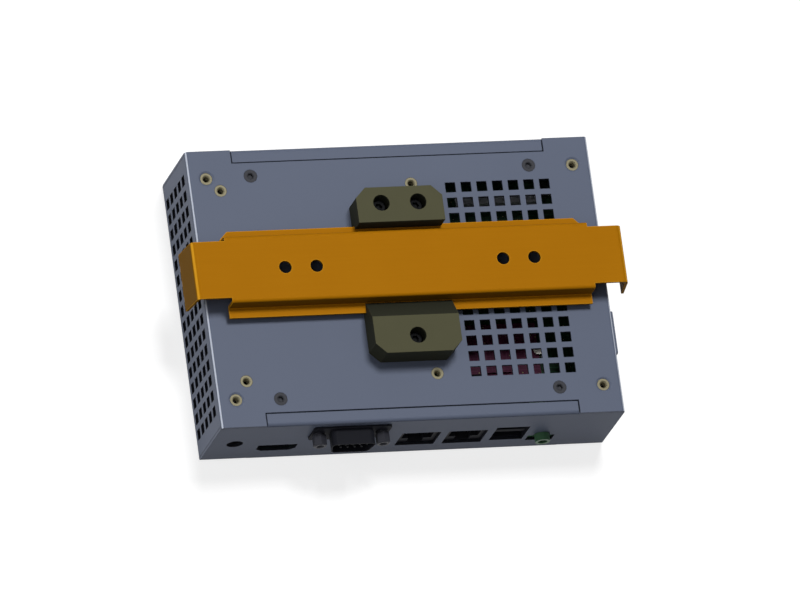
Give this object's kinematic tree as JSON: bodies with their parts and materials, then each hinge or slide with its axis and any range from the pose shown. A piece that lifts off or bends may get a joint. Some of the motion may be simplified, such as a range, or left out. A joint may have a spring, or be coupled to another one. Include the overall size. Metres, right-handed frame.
{
  "type": "fanless industrial pc",
  "caption": "Fanless industrial PC in a folded sheet-metal case, lying on its cover, with connectors on one long side and a clipped-on top-hat rail across its underside",
  "frame": {"origin": "centre of the top cover's outer face, which lies on the bench", "axes": "+X along the long side, +Z out of the underside, and the connector panel faces -Y"},
  "size_m": [0.1738, 0.119, 0.0476],
  "materials": {
    "body_paint": "fine matt powder coat, blue grey",
    "rail_steel": "yellow passivated steel, satin",
    "clip_metal": "olive satin coating",
    "insert_brass": "turned brass",
    "screw_steel": "dark zinc",
    "plated_steel": "bright nickel",
    "black_plastic": "moulded black nylon",
    "green_plastic": "moulded green",
    "board_green": "solder mask",
    "card_red": "dark red solder mask",
    "header_grey": "moulded light grey nylon",
    "chip_black": "moulded package",
    "spreader_aluminium": "milled",
    "pad_grey": "soft silicone",
    "contact_gold": "gold plate",
    "lead_grey": "insulation"
  },
  "bodies": {
    "root": {"audio_jack": "green_plastic", "board_capacitors": "plated_steel", "board_chips": "chip_black", "board_inductors": "chip_black", "board_nuts": "plated_steel", "board_standoffs": "plated_steel", "bottom_tray": "body_paint", "card_posts": "plated_steel", "case_screws": "screw_steel", "clip_nuts": "plated_steel", "clip_screws": "screw_steel", "coin_cell": "plated_steel", "coin_cell_holder": "plated_steel", "corner_inserts": "insert_brass", "din_clip": "clip_metal", "din_rail": "rail_steel", "expansion_header": "header_grey", "hdmi_port": "plated_steel", "heat_spreader": "spreader_aluminium", "lan_can_1": "plated_steel", "lan_can_2": "plated_steel", "lan_contacts": "contact_gold", "lan_inserts": "black_plastic", "memory_module": "board_green", "memory_socket": "black_plastic", "motherboard": "board_green", "mount_inserts": "insert_brass", "power_header": "black_plastic", "power_jack": "black_plastic", "power_lead": "lead_grey", "processor": "chip_black", "serial_body": "black_plastic", "serial_header": "black_plastic", "serial_jackscrews": "plated_steel", "serial_nuts": "plated_steel", "serial_pins": "contact_gold", "serial_ribbon": "lead_grey", "serial_shell": "plated_steel", "side_slot_cover": "body_paint", "storage_module": "board_green", "storage_socket": "black_plastic", "thermal_pad": "pad_grey", "top_cover": "body_paint", "usb_can": "plated_steel", "usb_tongues": "black_plastic", "wireless_card": "card_red", "wireless_socket": "black_plastic"}
  },
  "joints": []
}
